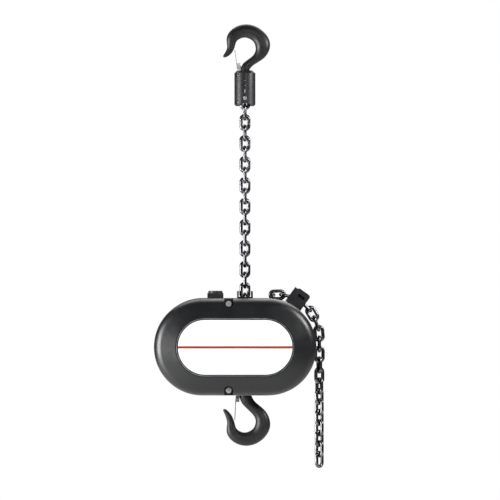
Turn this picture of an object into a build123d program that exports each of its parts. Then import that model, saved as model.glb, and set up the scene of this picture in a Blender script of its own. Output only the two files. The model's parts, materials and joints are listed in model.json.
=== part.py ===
"""Electric chain hoist of the climbing kind, hung from its own load chain.

The upper hook holds a swivelling block, the load chain hangs from the block, and the
stadium-shaped hoist body climbs on that chain. A second hook under the body takes the
load, and the slack end of the chain lies over the body's right shoulder.

Frame: the origin is where the upper hook bears on whatever holds it. +X is to the right,
+Y points to the rear of the body and +Z is up. Every length is in millimetres.
"""
from build123d import *
import math
import os

# ---------------------------------------------------------------- load chain
CHAIN_WIRE = 7.0            # diameter of the wire of a link
CHAIN_PITCH = 21.0          # inside length of a link
CHAIN_INSIDE = 8.2          # inside width of a link
LINK_GAP = 0.16             # left between two links that pull on each other
FREE_LINKS = 23             # links from the hook block down to the load wheel
SEGMENT_LINKS = 5           # links in each swinging stretch of the load chain
CHAIN_SEGMENTS = 4          # the last stretch also reaches down to the wheel
WHEEL_POCKETS = 4           # pockets round the load wheel

# ---------------------------------------------------------------- hooks
HOOK_BOWL = 21.4            # inside radius of a hook's bowl
HOOK_BACK = 30.0            # thickness of the bowl at its back
HOOK_CROWN = 27.2           # thickness of the bowl where the load bears
HOOK_ARM = 14.4             # thickness of the arm that carries the tip
HOOK_TIP = 6.0              # thickness at the very tip
HOOK_FLATNESS = 0.86        # width across the hook over its thickness
UPPER_REACH = 44.0          # bowl centre to the hook block
UPPER_NECK = 16.8           # neck diameter of the upper hook
UPPER_TIP_DROP = 15.6       # how far its tip hangs past the bowl centre
LOWER_REACH = 54.4          # bowl centre to the hoist body
LOWER_NECK = 22.4
LOWER_TIP_DROP = 22.8
TIP_SPREAD = 41.0           # tip to the load line
# Stations of the tip: share of the way out, share of the drop, share of the arm's thickness.
HOOK_TIP_SHAPE = ((1.0, 1.0, 0.0), (0.68, 0.8, 0.35), (0.32, 0.48, 0.7))
LATCH_SHEET = 1.6           # latch sheet thickness
LATCH_EAR = 9.0             # height of the latch's ears above its pin
LATCH_LUG_WIDTH = 8.0       # width of the hook's lug inside the latch
LATCH_PIN_RADIUS = 2.0
LATCH_PIVOT_OUT = 3.6       # latch pin to the side of the neck
LATCH_PIVOT_UP = 5.6        # latch pin to the end of the neck
RUNNING_GAP = 0.3           # between pieces that turn or slide past each other
PIN_GAP = 0.05              # round a pin that turns in its hole

# ---------------------------------------------------------------- hook block
BLOCK_RADIUS = 21.0
BLOCK_HEIGHT = 71.4
BLOCK_SHOULDER = 5.5        # slope round the top edge
BLOCK_FOOT = 3.0            # slope round the bottom edge
BLOCK_ARCH_HALF = 12.0      # half width of the arch round the first links
BLOCK_ARCH_HEIGHT = 6.0
CHAIN_SWING = 10.0          # swing of the chain on its pin, each way, in degrees
BLOCK_SEAM = 0.8            # joint line between the two halves
BLOCK_LEDGE = 18.6          # depth of the part that hangs on the thrust bearing
CHAIN_PIN_LIFT = 15.7       # chain pin above the block's lower face
CHAIN_PIN_RADIUS = 3.95
CHAIN_SLOT_HALF = 15.0      # half length of the slot that lets the first link swing
SHANK_RADIUS = 8.0          # hook shank inside its swivel
HOOK_NUT_RADIUS = 12.5
HOOK_NUT_HEIGHT = 12.0
THRUST_RADIUS = 13.5
THRUST_HEIGHT = 7.0
BLOCK_SCREW_RADIUS = 2.5
BLOCK_SCREW_OUT = 13.0

# ---------------------------------------------------------------- hoist body
BODY_LENGTH = 322.8
BODY_HEIGHT = 192.4
BODY_OFFSET = 19.2          # middle of the body to the left of the load line
WHEEL_ABOVE_MIDDLE = 6.8    # load wheel axis above the middle of the body
FRONT_COVER_DEPTH = 93.0
REAR_COVER_DEPTH = 92.0
COVER_WALL = 4.0
COVER_DISH = 16.0           # depth of the sloping face round the label
COVER_EDGE = 22.0           # radius of the rounded outer edge
FRAME_HALF = 23.0           # half the depth of the centre frame
FRAME_INSET = 6.6           # frame outline inside the outline of the covers
FRAME_RIM = 7.0
FRAME_WALL = 8.0
LABEL_LENGTH = 232.6
LABEL_HEIGHT = 114.0
LABEL_THICK = 1.2
LABEL_LAND = 2.5            # flat ledge round the label
NOTCH_OFFSET = 13.0         # cover screws to the left of the body's middle
NOTCH_WIDTH = 18.0
NOTCH_DEPTH = 34.0          # how far the cover screws sit behind the front face
NOTCH_WALL = 3.0
SCREW_INSET = 10.2          # cover screw axis inside the outline
SCREW_BOSS_RADIUS = 8.7
SCREW_RADIUS = 3.0
SCREW_HEAD_RADIUS = 5.6
SCREW_HEAD_HEIGHT = 5.0
FIT_GAP = 0.25              # round a piece that is placed in an opening

# ---------------------------------------------------------------- chain path
GUIDE_FLANGE = 3.9          # wall of the chain guide left and right of the chain
GUIDE_CHEEK = 2.4           # wall before and behind the chain
GUIDE_RISE = 15.0           # chain guide above the covers
GUIDE_FUNNEL = 3.0          # rounding of the guide's mouth
GUIDE_COLLAR = 3.0          # closed part of the guide above the covers
CHAIN_CLEARANCE = 1.0       # round the chain in a guide
SLACK_LEAN = 20.8           # lean of the link that comes out of the slack side
SLACK_HEADINGS = (2, -10, -34, -44, -60, -70, -85)
HANGING_LINKS = 12
HANGING_SPLIT = 6           # links in the upper half of the hanging end
TWIST_STEP = 9.0            # roll from link to link in the hanging end
TWIST_LINKS = 5
STOP_LENGTH = 30.0
STOP_HEIGHT = 40.0
STOP_DEPTH = 34.0
STOP_HEADING = -36.0
STOP_FLANGE = 6.0
STOP_CORNER = 5.0
STOP_BOLT_RADIUS = 2.5
STOP_WINDOW_HALF = 2.6      # half height of the window that shows the chain

# ---------------------------------------------------------------- gear train
PRESSURE_ANGLE = 20.0
PINION_TEETH = 14
GEAR_TEETH = 56
PROFILE_SHIFT = 0.25        # moves tooth height from gear to pinion
BACKLASH = 0.14
FIRST_MODULE = 1.25
SECOND_MODULE = 1.5
OUTPUT_MODULE = 2.0
FIRST_FACE = 9.0            # face width of each stage
SECOND_FACE = 9.0
OUTPUT_FACE = 12.0
STAGE_GAP = 3.0
SECOND_SHAFT_ANGLE = 168.0  # directions from shaft to shaft, seen from the front
FIRST_SHAFT_ANGLE = 250.0
MOTOR_SHAFT_ANGLE = 25.0
LIMIT_SCREW_ANGLE = -48.0
WHEEL_SHAFT_RADIUS = 10.0
GEAR_SHAFT_RADIUS = 6.0
WHEEL_BEARING_RADIUS = 18.5
GEAR_BEARING_RADIUS = 13.0
WHEEL_TIP_OVER = 1.8        # wheel teeth above the chain's pitch circle
WHEEL_HALF = 14.0
POCKET_GAP = 0.6
GEAR_CASE_GAP = 3.0
GEAR_CASE_WALL = 4.0
GEAR_CASE_CORNER = 22.0
GEAR_COVER_THICK = 8.0

# ---------------------------------------------------------------- motor and brake
MOTOR_RADIUS = 58.0
MOTOR_SHELL = 3.0
STATOR_BORE = 36.0
STATOR_LENGTH = 38.0
STATOR_SLOTS = 18
STATOR_SLOT_DEPTH = 14.0
STATOR_SLOT_WIDTH = 5.0
WINDING_LENGTH = 5.0
AIR_GAP = 0.6
FAN_RADIUS = 50.0
FAN_DEPTH = 7.0
FAN_BLADES = 9
FAN_SPACE = 3.0
END_BELL_THICK = 8.0
BRAKE_RADIUS = 44.0
BRAKE_DISC_THICK = 5.0
BRAKE_LIFT = 0.6            # how far the armature plate is pulled off the disc
ARMATURE_THICK = 3.0
COIL_DEPTH = 11.0
BRAKE_SPRINGS = 4
BRAKE_SPRING_CIRCLE = 32.0
BRAKE_SPRING_RADIUS = 3.6
SPRING_WIRE = 0.5           # radius of a spring's wire

# ---------------------------------------------------------------- electrical parts
CONTACTOR_WIDTH = 44.0
CONTACTOR_HEIGHT = 62.0
CONTACTOR_DEPTH = 28.0
CONTACTOR_GAP = 5.0
CONTACTOR_INSET = 16.0      # first contactor from the left side of the gear case
CONTACTOR_STAND = 2.0       # foot between the gear case cover and a contactor
CONTACTOR_FOOT = 8.0        # side of that foot
CONTACTOR_HEAD = 6.0        # raised middle of a contactor
CONTACTOR_SHOULDER = 12.0   # above and below that middle
TRANSFORMER_WIDTH = 32.0
TRANSFORMER_HEIGHT = 72.0
TRANSFORMER_DEPTH = 68.0
TRANSFORMER_CLEAR = 3.0     # from the gear case to the transformer
COIL_SLOT = 6.0             # half height of a gap between core and coil
COIL_RECESS = 4.0           # depth of that gap
TERMINAL_WIDTH = 22.0
TERMINAL_HEIGHT = 56.0
TERMINAL_DEPTH = 24.0
TERMINAL_WAYS = 6
TERMINAL_CLEAR = 6.0        # from the gear case to the terminal block
TERMINAL_HOLE = 2.5
TERMINAL_HOLE_DEPTH = 6.0
LIMIT_SCREW_RADIUS = 5.0
LIMIT_SCREW_LENGTH = 30.0
LIMIT_NUT_SIZE = 18.0
LIMIT_NUT_THICK = 5.0
LIMIT_NUT_SPACING = 9.0
SWITCH_SIZE = (22.0, 9.0, 12.0)
SWITCH_LIFT = 3.0           # switch above the limit nuts
SWITCH_LEVER = 3.0          # width of a switch's lever
SWITCH_REACH = 2.0          # lever below its switch
INLET_SIZE = 32.2
INLET_OFFSET = 59.0         # cable inlet to the left of the load line
INLET_RISE = 15.0           # top of the inlet above the covers
INLET_CAP = 4.6
INLET_CAP_SHARE = 0.89      # width of the cap over the width of the inlet
INLET_BORE = 7.0
INLET_RIBS = 7
CAP_GRIPS = 24              # grip flutes round the cap

# ---------------------------------------------------------------- lower suspension
YOKE_HALF_X = 22.5
YOKE_HEIGHT = 23.0
YOKE_PIN_RADIUS = 4.5
YOKE_PIN_OUT = 15.5

# ---------------------------------------------------------------- worked-out places
LINK_REACH = (CHAIN_PITCH + CHAIN_WIRE + LINK_GAP) / 2      # centre to the crown's wire
LINK_SEAT = CHAIN_WIRE + LINK_GAP                           # wire to wire of two links
CROWN_RADIUS = (CHAIN_INSIDE + CHAIN_WIRE) / 2
LINK_HALF_WIDTH = CHAIN_INSIDE / 2 + CHAIN_WIRE
LINK_HALF_LENGTH = LINK_REACH + CHAIN_WIRE / 2
GUIDE_HALF_X = LINK_HALF_WIDTH + CHAIN_CLEARANCE + GUIDE_FLANGE
GUIDE_HALF_Y = LINK_HALF_WIDTH + CHAIN_CLEARANCE + GUIDE_CHEEK
UPPER_BOWL_Z = -HOOK_BOWL
BLOCK_TOP = UPPER_BOWL_Z - UPPER_REACH
BLOCK_BOTTOM = BLOCK_TOP - BLOCK_HEIGHT
CHAIN_PIN_Z = BLOCK_BOTTOM + CHAIN_PIN_LIFT
FIRST_LINK_Z = CHAIN_PIN_Z - (LINK_REACH - CROWN_RADIUS)
WHEEL_Z = FIRST_LINK_Z - CHAIN_PITCH * FREE_LINKS
BODY_Z = WHEEL_Z - WHEEL_ABOVE_MIDDLE
BODY_TOP = BODY_Z + BODY_HEIGHT / 2
BODY_BOTTOM = BODY_Z - BODY_HEIGHT / 2
FRAME_TOP = BODY_TOP - FRAME_INSET
FRAME_BOTTOM = BODY_BOTTOM + FRAME_INSET
FRAME_INSIDE = FRAME_HALF - FRAME_WALL
LOWER_BOWL_Z = BODY_BOTTOM - LOWER_REACH
NOTCH_X = -BODY_OFFSET - NOTCH_OFFSET
SHANK_LENGTH = BLOCK_LEDGE + THRUST_HEIGHT + HOOK_NUT_HEIGHT     # of the upper hook, in its block


def chain_circle():
    """Radius of the circle that the seats of the links make on the load wheel."""
    low = LINK_REACH
    high = LINK_REACH * WHEEL_POCKETS
    long_half = LINK_REACH
    short_half = LINK_REACH - LINK_SEAT
    for _ in range(60):
        middle = (low + high) / 2
        covered = math.asin(long_half / middle) + math.asin(short_half / middle)
        if covered > math.pi / WHEEL_POCKETS:
            low = middle
        else:
            high = middle
    return high


CHAIN_CIRCLE = chain_circle()
ROLL_RADIUS = CHAIN_PITCH * WHEEL_POCKETS / math.pi          # chain fed for each radian
FLAT_LINK_RADIUS = math.sqrt(CHAIN_CIRCLE ** 2 - LINK_REACH ** 2)
WHEEL_X = FLAT_LINK_RADIUS
WHEEL_TIP = CHAIN_CIRCLE + WHEEL_TIP_OVER


def polar(start, distance, angle):
    """Point at a distance and direction from start, seen from the front."""
    turn = math.radians(angle)
    return (start[0] + distance * math.cos(turn), start[1] + distance * math.sin(turn))


def stage_distance(module):
    return module * (PINION_TEETH + GEAR_TEETH) / 2


WHEEL_AXIS = (WHEEL_X, WHEEL_Z)
SECOND_AXIS = polar(WHEEL_AXIS, stage_distance(OUTPUT_MODULE), SECOND_SHAFT_ANGLE)
FIRST_AXIS = polar(SECOND_AXIS, stage_distance(SECOND_MODULE), FIRST_SHAFT_ANGLE)
MOTOR_AXIS = polar(FIRST_AXIS, stage_distance(FIRST_MODULE), MOTOR_SHAFT_ANGLE)
LIMIT_AXIS = polar(WHEEL_AXIS, stage_distance(OUTPUT_MODULE), LIMIT_SCREW_ANGLE)

FIRST_FAR = -FRAME_HALF - STAGE_GAP
FIRST_NEAR = FIRST_FAR - FIRST_FACE
SECOND_FAR = FIRST_NEAR - STAGE_GAP
SECOND_NEAR = SECOND_FAR - SECOND_FACE
OUTPUT_FAR = SECOND_NEAR - STAGE_GAP
OUTPUT_NEAR = OUTPUT_FAR - OUTPUT_FACE
CASE_NEAR = OUTPUT_NEAR - STAGE_GAP
GEAR_COVER_NEAR = CASE_NEAR - GEAR_COVER_THICK

FAN_NEAR = FRAME_HALF + FAN_SPACE
FAN_FAR = FAN_NEAR + FAN_DEPTH
STATOR_NEAR = FAN_FAR + FAN_SPACE
STATOR_FAR = STATOR_NEAR + STATOR_LENGTH
BELL_NEAR = STATOR_FAR + WINDING_LENGTH + FAN_SPACE
BELL_FAR = BELL_NEAR + END_BELL_THICK
DISC_NEAR = BELL_FAR + RUNNING_GAP
DISC_FAR = DISC_NEAR + BRAKE_DISC_THICK
ARMATURE_NEAR = DISC_FAR + PIN_GAP
ARMATURE_FAR = ARMATURE_NEAR + ARMATURE_THICK
COIL_NEAR = ARMATURE_FAR + BRAKE_LIFT + PIN_GAP
COIL_FAR = COIL_NEAR + COIL_DEPTH

YOKE_BOTTOM = FRAME_BOTTOM + FRAME_RIM
YOKE_TOP = YOKE_BOTTOM + YOKE_HEIGHT


# ================================================================ building blocks
def bar_y(radius, near, far, axis):
    """Round bar along Y."""
    return Pos(axis[0], (near + far) / 2, axis[1]) * Rot(90, 0, 0) * Cylinder(radius, far - near)


def bar_z(radius, low, high, x=0.0, y=0.0):
    """Round bar along Z."""
    return Pos(x, y, (low + high) / 2) * Cylinder(radius, high - low)


def bar_x(radius, left, right, y, z):
    """Round bar along X."""
    return Pos((left + right) / 2, y, z) * Rot(0, 90, 0) * Cylinder(radius, right - left)


def brick(x_span, y_span, z_span):
    """Box between pairs of limits."""
    size = [span[1] - span[0] for span in (x_span, y_span, z_span)]
    middle = [(span[0] + span[1]) / 2 for span in (x_span, y_span, z_span)]
    return Pos(*middle) * Box(*size)


def slab(outline, near, far, centre):
    """An outline drawn in the front view, as thick as near to far."""
    plane = Plane(origin=(centre[0], far, centre[1]), x_dir=(1, 0, 0), z_dir=(0, -1, 0))
    return extrude(plane * outline, far - near)


def ring_y(outer, inner, near, far, axis):
    """Flat ring or sleeve along Y."""
    return bar_y(outer, near, far, axis) - bar_y(inner, near - 1, far + 1, axis)


def bearing_y(outer, inner, near, far, axis):
    """Sealed ball bearing: outer race, inner race and the seals between them."""
    inner += PIN_GAP
    step = (outer - inner) / 3
    races = [ring_y(outer, outer - step, near, far, axis), ring_y(inner + step, inner, near, far, axis)]
    races.append(ring_y(outer - step, inner + step, near + 0.8, far - 0.8, axis))
    return races


def coil_spring(radius, pitch, height):
    """Coil of round wire standing on its own start, along Z."""
    path = Helix(pitch=pitch, height=height, radius=radius)
    section = Plane(origin=path @ 0, z_dir=path % 0) * Circle(SPRING_WIRE)
    return sweep(section, path=path, is_frenet=True)


def export(name, pieces):
    """Writes one sub-part, which may be a group of separate solids."""
    if not isinstance(pieces, (list, tuple)):
        pieces = [pieces]
    solids = [solid for piece in pieces for solid in piece.solids()]
    shape = solids[0] if len(solids) == 1 else Compound(children=solids)
    export_step(shape, "parts/" + name + ".step")


# ================================================================ chain
def link():
    """One round link in its XZ plane, centred on the origin and standing along Z."""
    straight = 2 * (LINK_REACH - CROWN_RADIUS)
    section = Pos(CROWN_RADIUS, 0) * Circle(CHAIN_WIRE / 2)
    leg = extrude(Pos(0, 0, -straight / 2) * section, straight)
    crown = revolve(Pos(0, 0, straight / 2) * section, Axis((0, 0, straight / 2), (0, 1, 0)), -180)
    half = leg + crown
    return half + Rot(0, 180, 0) * half


LINK = link()


def next_place(place, roll, turn, twist):
    """Place and roll of the link that follows one at `place`.

    A link can rock about its neighbour's wire and its neighbour about its own, so the bend
    is split between those two axes. `turn` is the change of heading seen from the front.
    """
    about_own = -turn * math.sin(math.radians(roll))
    about_next = -turn * math.cos(math.radians(roll))
    place = place * Pos(0, 0, -LINK_REACH) * Rot(about_own, 0, 0)
    place = place * Pos(0, 0, LINK_SEAT) * Rot(0, about_next, 0)
    place = place * Pos(0, 0, -LINK_REACH) * Rot(0, 0, 90 + twist)
    return place, roll + 90 + twist


def chain_places():
    """Places of all links, from the pin in the hook block to the free end."""
    quarter = 180.0 / WHEEL_POCKETS
    headings = [-90.0] * (FREE_LINKS + 1)
    headings += [-90.0 + quarter * step for step in range(1, WHEEL_POCKETS + 1)]
    headings += [90.0] * 3
    headings += [90.0 - SLACK_LEAN]
    headings += SLACK_HEADINGS
    shoulder_end = len(headings)
    headings += [-90.0] * HANGING_LINKS
    place = Pos(0, 0, FIRST_LINK_Z)
    roll = 0.0
    places = [place]
    for number in range(1, len(headings)):
        turn = headings[number] - headings[number - 1]
        hanging = number - shoulder_end
        twist = TWIST_STEP if 0 < hanging <= TWIST_LINKS else 0.0
        place, roll = next_place(place, roll, turn, twist)
        places.append(place)
    return places, shoulder_end


PLACES, SHOULDER_END = chain_places()


def links(first, last):
    """Links number first to last - 1, as separate solids."""
    return [place * LINK for place in PLACES[first:last]]


def export_chain():
    for segment in range(CHAIN_SEGMENTS):
        first = segment * SEGMENT_LINKS
        last = FREE_LINKS if segment == CHAIN_SEGMENTS - 1 else first + SEGMENT_LINKS
        export("load_chain_%d" % (segment + 1), links(first, last))
    wrap_end = FREE_LINKS + WHEEL_POCKETS + 1
    export("chain_on_wheel", links(FREE_LINKS, wrap_end))
    split = SHOULDER_END + HANGING_SPLIT
    export("slack_chain_shoulder", links(wrap_end, SHOULDER_END))
    export("slack_chain_upper", links(SHOULDER_END, split))
    export("slack_chain_end", links(split, len(PLACES)))


# ================================================================ hooks
def hook_stations(reach, neck, tip_drop):
    """Centre line of the hook as (x, z, thickness), from the tip to the neck."""
    arm = HOOK_BOWL + HOOK_ARM / 2
    stations = [(-TIP_SPREAD - HOOK_TIP * 0.4, -tip_drop - HOOK_TIP * 0.2, HOOK_TIP * 0.4)]
    for along, drop, share in HOOK_TIP_SHAPE:
        x = -arm - along * (TIP_SPREAD - arm)
        stations.append((x, -drop * tip_drop, HOOK_TIP + share * (HOOK_ARM - HOOK_TIP)))
    bowl = ((178, HOOK_ARM), (148, (HOOK_ARM + HOOK_CROWN) / 2), (115, HOOK_CROWN * 0.93))
    bowl += ((82, HOOK_CROWN), (45, (HOOK_CROWN + HOOK_BACK) / 2), (12, HOOK_BACK))
    bowl += ((-18, (HOOK_BACK + neck) / 2), (-46, neck))
    for angle, thickness in bowl:
        x, z = polar((0, 0), HOOK_BOWL + thickness / 2, angle)
        stations.append((x, z, thickness))
    stations.append((neck * 0.35, -(HOOK_BOWL + reach) / 2, neck))
    stations.append((0.0, RUNNING_GAP - reach, neck))
    return stations


def hook_bow(reach, neck, tip_drop):
    """Forged bow of a hook: its bowl is centred on the origin and it opens to the left."""
    stations = hook_stations(reach, neck, tip_drop)
    sections = []
    last = len(stations) - 1
    for number, (x, z, thickness) in enumerate(stations):
        before = stations[max(number - 1, 0)]
        after = stations[min(number + 1, last)]
        along = Vector(after[0] - before[0], 0, after[1] - before[1])
        if number == last:
            along = Vector(0, 0, -1)
        plane = Plane(origin=(x, 0, z), x_dir=(0, 1, 0), z_dir=along)
        width = thickness + (thickness * HOOK_FLATNESS - thickness) * min(1, (last - number) / 2)
        sections.append(plane * Ellipse(width / 2, thickness / 2))
    return loft(sections)


def latch_pivot(reach, neck):
    """Axis of the latch pin beside the neck."""
    return (-neck / 2 - LATCH_PIVOT_OUT, -(reach - LATCH_PIVOT_UP))


def hook(reach, neck, tip_drop):
    """A hook, without its shank, and the lug that carries its latch."""
    pivot = latch_pivot(reach, neck)
    half = LATCH_LUG_WIDTH / 2
    lug_radius = LATCH_PIN_RADIUS * 2.0
    body = hook_bow(reach, neck, tip_drop)
    body += bar_y(lug_radius, -half, half, pivot)
    body += brick((pivot[0], 0), (-half, half), (pivot[1] - lug_radius, pivot[1] + lug_radius / 2))
    return body - bar_y(LATCH_PIN_RADIUS, -half - 1, half + 1, pivot)


def latch(reach, neck, tip_drop):
    """Sheet latch: a strip with two ears that straddle the hook's lug."""
    pivot = latch_pivot(reach, neck)
    inner = LATCH_LUG_WIDTH / 2 + RUNNING_GAP
    outer = inner + LATCH_SHEET
    boss = LATCH_PIN_RADIUS * 2.0
    tip = (boss + RUNNING_GAP - HOOK_BOWL, -tip_drop * 0.1 - 1.0)
    lean = math.degrees(math.atan2(tip[0] - pivot[0], tip[1] - pivot[1]))
    length = math.hypot(tip[0] - pivot[0], tip[1] - pivot[1])
    ear_outline = Pos(0, LATCH_EAR / 2) * Rectangle(2 * boss, LATCH_EAR) + Circle(boss)
    ear = slab(ear_outline, -outer, -inner, (0, 0)) + slab(ear_outline, inner, outer, (0, 0))
    strip = brick((-boss, -boss + LATCH_SHEET), (-outer, outer), (LATCH_PIN_RADIUS * 3.2, length))
    hole = bar_y(LATCH_PIN_RADIUS + PIN_GAP, -outer - 1, outer + 1, (0, 0))
    return Pos(pivot[0], 0, pivot[1]) * Rot(0, lean, 0) * (ear + strip - hole)


def latch_pin(reach, neck):
    pivot = latch_pivot(reach, neck)
    outer = LATCH_LUG_WIDTH / 2 + RUNNING_GAP + LATCH_SHEET
    head = RUNNING_GAP + 1.2
    pin = bar_y(LATCH_PIN_RADIUS, -outer - head, outer + head, pivot)
    for side in (-1, 1):
        near = min(side * (outer + RUNNING_GAP), side * (outer + head))
        pin += bar_y(LATCH_PIN_RADIUS * 1.5, near, near + 1.2, pivot)
    return pin


def latch_spring(reach, neck):
    """Small coil on the latch pin, beside the lug."""
    pivot = latch_pivot(reach, neck)
    radius = LATCH_PIN_RADIUS * 1.5 + SPRING_WIRE
    outer = LATCH_LUG_WIDTH / 2 + RUNNING_GAP + LATCH_SHEET
    coil = coil_spring(radius, SPRING_WIRE * 3, SPRING_WIRE * 6)
    return Pos(pivot[0], outer + RUNNING_GAP + 2.4, pivot[1]) * Rot(-90, 0, 0) * coil


def swivel_nut(shank_end):
    """Round castle nut on the end of a hook's shank; shank_end is the nut's outer face."""
    nut = bar_z(HOOK_NUT_RADIUS, shank_end, shank_end + HOOK_NUT_HEIGHT)
    bore = bar_z(SHANK_RADIUS, shank_end - 1, shank_end + HOOK_NUT_HEIGHT + 1)
    slot = brick((-HOOK_NUT_RADIUS, HOOK_NUT_RADIUS), (-1.5, 1.5), (shank_end - 1, shank_end + 3))
    return nut - bore - slot


def thrust_bearing(low):
    """Two washers with a cage of balls between them."""
    third = THRUST_HEIGHT / 3
    pieces = []
    for number in range(3):
        radius = THRUST_RADIUS if number != 1 else THRUST_RADIUS - 1
        washer = bar_z(radius, low + number * third, low + (number + 1) * third)
        pieces.append(washer - bar_z(SHANK_RADIUS + RUNNING_GAP, low - 1, low + THRUST_HEIGHT + 1))
    return pieces


def export_upper_hook():
    bow = Pos(0, 0, UPPER_BOWL_Z)
    shank = bar_z(SHANK_RADIUS, BLOCK_TOP - SHANK_LENGTH, BLOCK_TOP + RUNNING_GAP * 2)
    export("upper_hook", bow * hook(UPPER_REACH, UPPER_NECK, UPPER_TIP_DROP) + shank)
    export("upper_latch", bow * latch(UPPER_REACH, UPPER_NECK, UPPER_TIP_DROP))
    export("upper_latch_pin", bow * latch_pin(UPPER_REACH, UPPER_NECK))
    export("upper_latch_spring", bow * latch_spring(UPPER_REACH, UPPER_NECK))
    export("upper_hook_nut", swivel_nut(BLOCK_TOP - SHANK_LENGTH))
    export("upper_thrust_bearing", thrust_bearing(BLOCK_TOP - BLOCK_LEDGE - THRUST_HEIGHT))


def export_lower_hook():
    bow = Pos(0, 0, LOWER_BOWL_Z) * Rot(180, 0, 0)
    shank_top = YOKE_TOP + THRUST_HEIGHT + HOOK_NUT_HEIGHT
    body = bow * hook(LOWER_REACH, LOWER_NECK, LOWER_TIP_DROP)
    body += bar_z(LOWER_NECK / 2, BODY_BOTTOM - RUNNING_GAP * 2, YOKE_BOTTOM - RUNNING_GAP)
    body += bar_z(SHANK_RADIUS, YOKE_BOTTOM - RUNNING_GAP - 1, shank_top)
    export("lower_hook", body)
    export("lower_latch", bow * latch(LOWER_REACH, LOWER_NECK, LOWER_TIP_DROP))
    export("lower_latch_pin", bow * latch_pin(LOWER_REACH, LOWER_NECK))
    export("lower_latch_spring", bow * latch_spring(LOWER_REACH, LOWER_NECK))
    export("lower_hook_nut", Pos(0, 0, shank_top) * Rot(180, 0, 0) * swivel_nut(0.0))
    export("lower_thrust_bearing", thrust_bearing(YOKE_TOP))


# ================================================================ hook block
def export_hook_block():
    nut_low = BLOCK_TOP - SHANK_LENGTH
    ledge = BLOCK_TOP - BLOCK_LEDGE
    whole = bar_z(BLOCK_RADIUS, BLOCK_BOTTOM, BLOCK_TOP)
    rims = whole.edges().filter_by(GeomType.CIRCLE).sort_by(Axis.Z)
    whole = chamfer(rims[-1], BLOCK_SHOULDER)
    rims = whole.edges().filter_by(GeomType.CIRCLE).sort_by(Axis.Z)
    whole = chamfer(rims[0], BLOCK_FOOT)
    whole -= bar_z(SHANK_RADIUS + RUNNING_GAP, ledge - 1, BLOCK_TOP + 1)
    whole -= bar_z(THRUST_RADIUS + RUNNING_GAP, nut_low - RUNNING_GAP * 3, ledge)
    slot_top = FIRST_LINK_Z + LINK_HALF_LENGTH + RUNNING_GAP
    slot_half = CHAIN_WIRE / 2 + RUNNING_GAP * 2
    slot = brick((-CHAIN_SLOT_HALF, CHAIN_SLOT_HALF), (-slot_half, slot_half), (BLOCK_BOTTOM - 1, slot_top))
    mouth_half = slot_half + CHAIN_PIN_LIFT * math.tan(math.radians(CHAIN_SWING))
    mouth = brick((-mouth_half, mouth_half), (-CHAIN_SLOT_HALF, CHAIN_SLOT_HALF),
                  (BLOCK_BOTTOM - 1, FIRST_LINK_Z - CHAIN_PITCH + LINK_HALF_LENGTH + RUNNING_GAP * 2))
    arch_radius = (BLOCK_ARCH_HALF ** 2 + BLOCK_ARCH_HEIGHT ** 2) / (2 * BLOCK_ARCH_HEIGHT)
    arch_axis = (0, BLOCK_BOTTOM + BLOCK_ARCH_HEIGHT - arch_radius)
    arch = bar_y(arch_radius, -BLOCK_RADIUS - 1, BLOCK_RADIUS + 1, arch_axis)
    whole = whole - slot - mouth - arch
    pin_axis = (0, CHAIN_PIN_Z)
    whole -= bar_y(CHAIN_PIN_RADIUS, -BLOCK_RADIUS - 1, BLOCK_RADIUS + 1, pin_axis)
    screws = []
    reach = math.sqrt(BLOCK_RADIUS ** 2 - BLOCK_SCREW_OUT ** 2)
    for y in (-BLOCK_SCREW_OUT, BLOCK_SCREW_OUT):
        for z in ((BLOCK_TOP + ledge) / 2, CHAIN_PIN_Z - 7):
            shank = bar_x(BLOCK_SCREW_RADIUS, -reach + 4, reach - 5, y, z)
            head = bar_x(BLOCK_SCREW_RADIUS * 1.6, -reach + 1, -reach + 4, y, z)
            socket = bar_x(BLOCK_SCREW_RADIUS * 0.7, -reach, -reach + 2.5, y, z)
            screws.append(shank + head - socket)
            whole -= bar_x(BLOCK_SCREW_RADIUS, -reach, reach - 5, y, z)
            whole -= bar_x(BLOCK_SCREW_RADIUS * 1.6, -reach - 6, -reach + 4, y, z)
    wide = BLOCK_RADIUS + 1
    span = (BLOCK_BOTTOM - 1, BLOCK_TOP + 1)
    left = whole & brick((-wide, -BLOCK_SEAM / 2), (-wide, wide), span)
    right = whole & brick((BLOCK_SEAM / 2, wide), (-wide, wide), span)
    export("block_left_half", left)
    export("block_right_half", right)
    export("block_screws", screws)
    export("block_chain_pin", bar_y(CHAIN_PIN_RADIUS, -BLOCK_RADIUS + 1.5, BLOCK_RADIUS - 1.5, pin_axis))


# ================================================================ gears
def involute(angle):
    return math.tan(angle) - angle


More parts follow.
